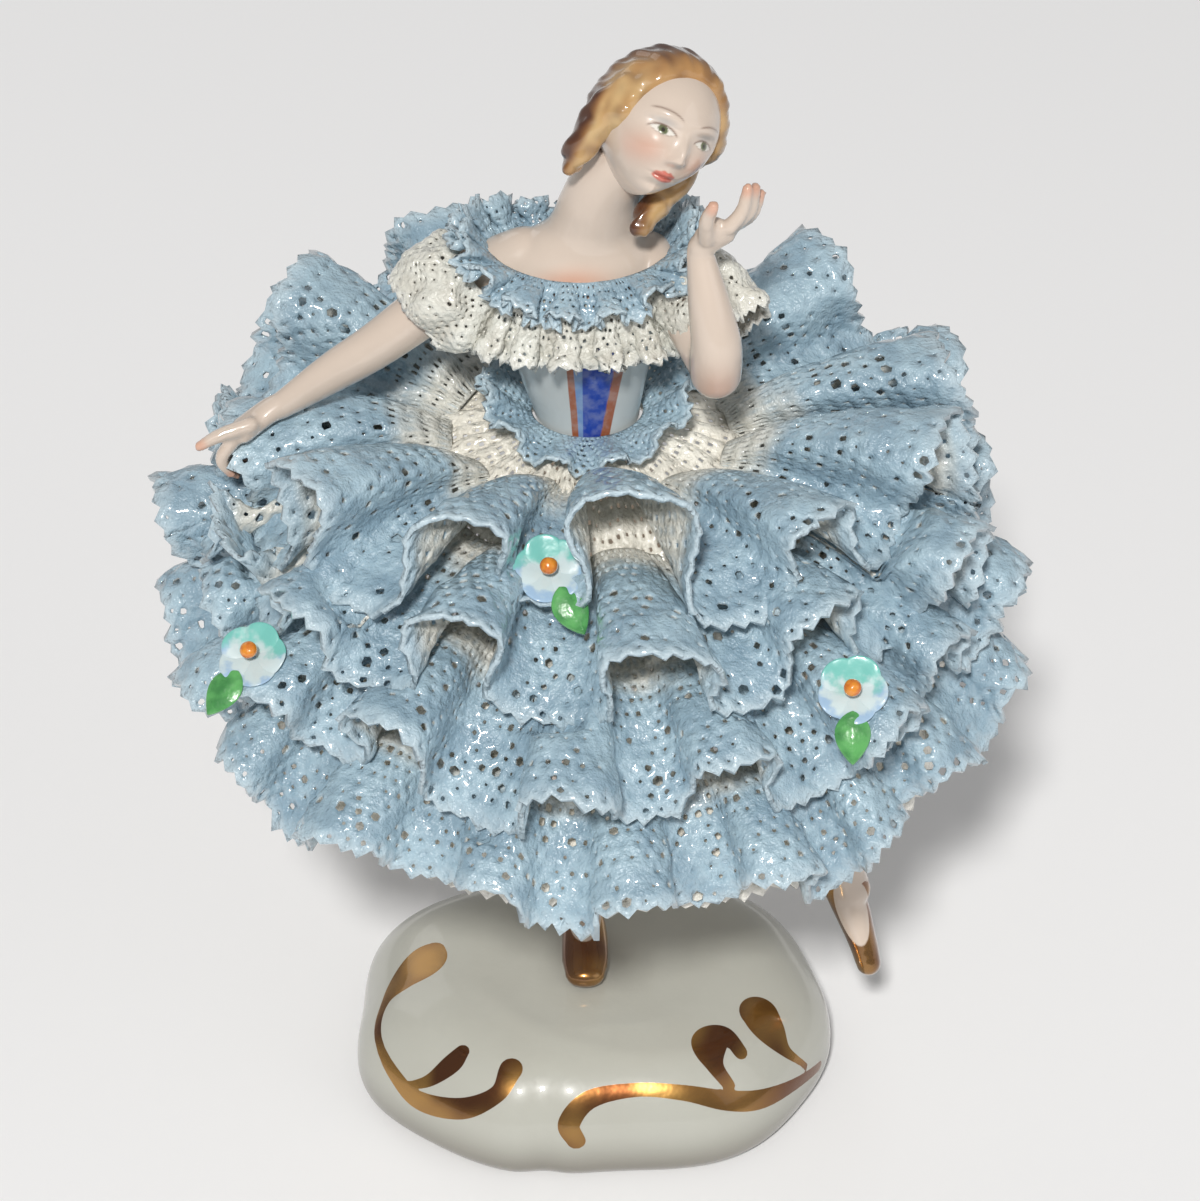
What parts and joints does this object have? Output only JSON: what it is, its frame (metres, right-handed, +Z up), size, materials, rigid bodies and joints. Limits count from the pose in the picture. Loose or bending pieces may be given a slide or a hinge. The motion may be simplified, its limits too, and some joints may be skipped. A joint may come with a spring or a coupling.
{
  "type": "dresden lace figurine",
  "caption": "Porcelain dancer on a low gilded base, one arm raised, in a wide tiered skirt of dipped and fired lace with applied flowers.",
  "frame": {"origin": "centre of the base's flat underside, on the surface it stands on", "axes": "+Z up, -Y the way her front faces, +X towards her left hand"},
  "size_m": [0.1049, 0.0923, 0.1484],
  "materials": {
    "white_porcelain": "gloss glaze with gilt scrolls",
    "skin_porcelain": "gloss glaze, painted",
    "ivory_lace": "fired lace, gloss glaze",
    "blue_lace": "fired lace, gloss glaze",
    "petal_glaze": "gloss glaze",
    "eye_glaze": "gloss glaze",
    "leaf_glaze": "gloss glaze"
  },
  "bodies": {
    "root": {"base": "white_porcelain", "dancer": "skin_porcelain", "petticoat": "ivory_lace", "flounce_1": "blue_lace", "flounce_2": "blue_lace", "flounce_3": "blue_lace", "flounce_4": "blue_lace", "waist_ruffle": "blue_lace", "neck_ruffle": "blue_lace", "bertha": "ivory_lace", "sleeve_left": "ivory_lace", "sleeve_right": "ivory_lace", "flower_1": "petal_glaze", "flower_2": "petal_glaze", "flower_3": "petal_glaze", "flower_eye_1": "eye_glaze", "flower_eye_2": "eye_glaze", "flower_eye_3": "eye_glaze", "leaf_1": "leaf_glaze", "leaf_2": "leaf_glaze", "leaf_3": "leaf_glaze"}
  },
  "joints": []
}
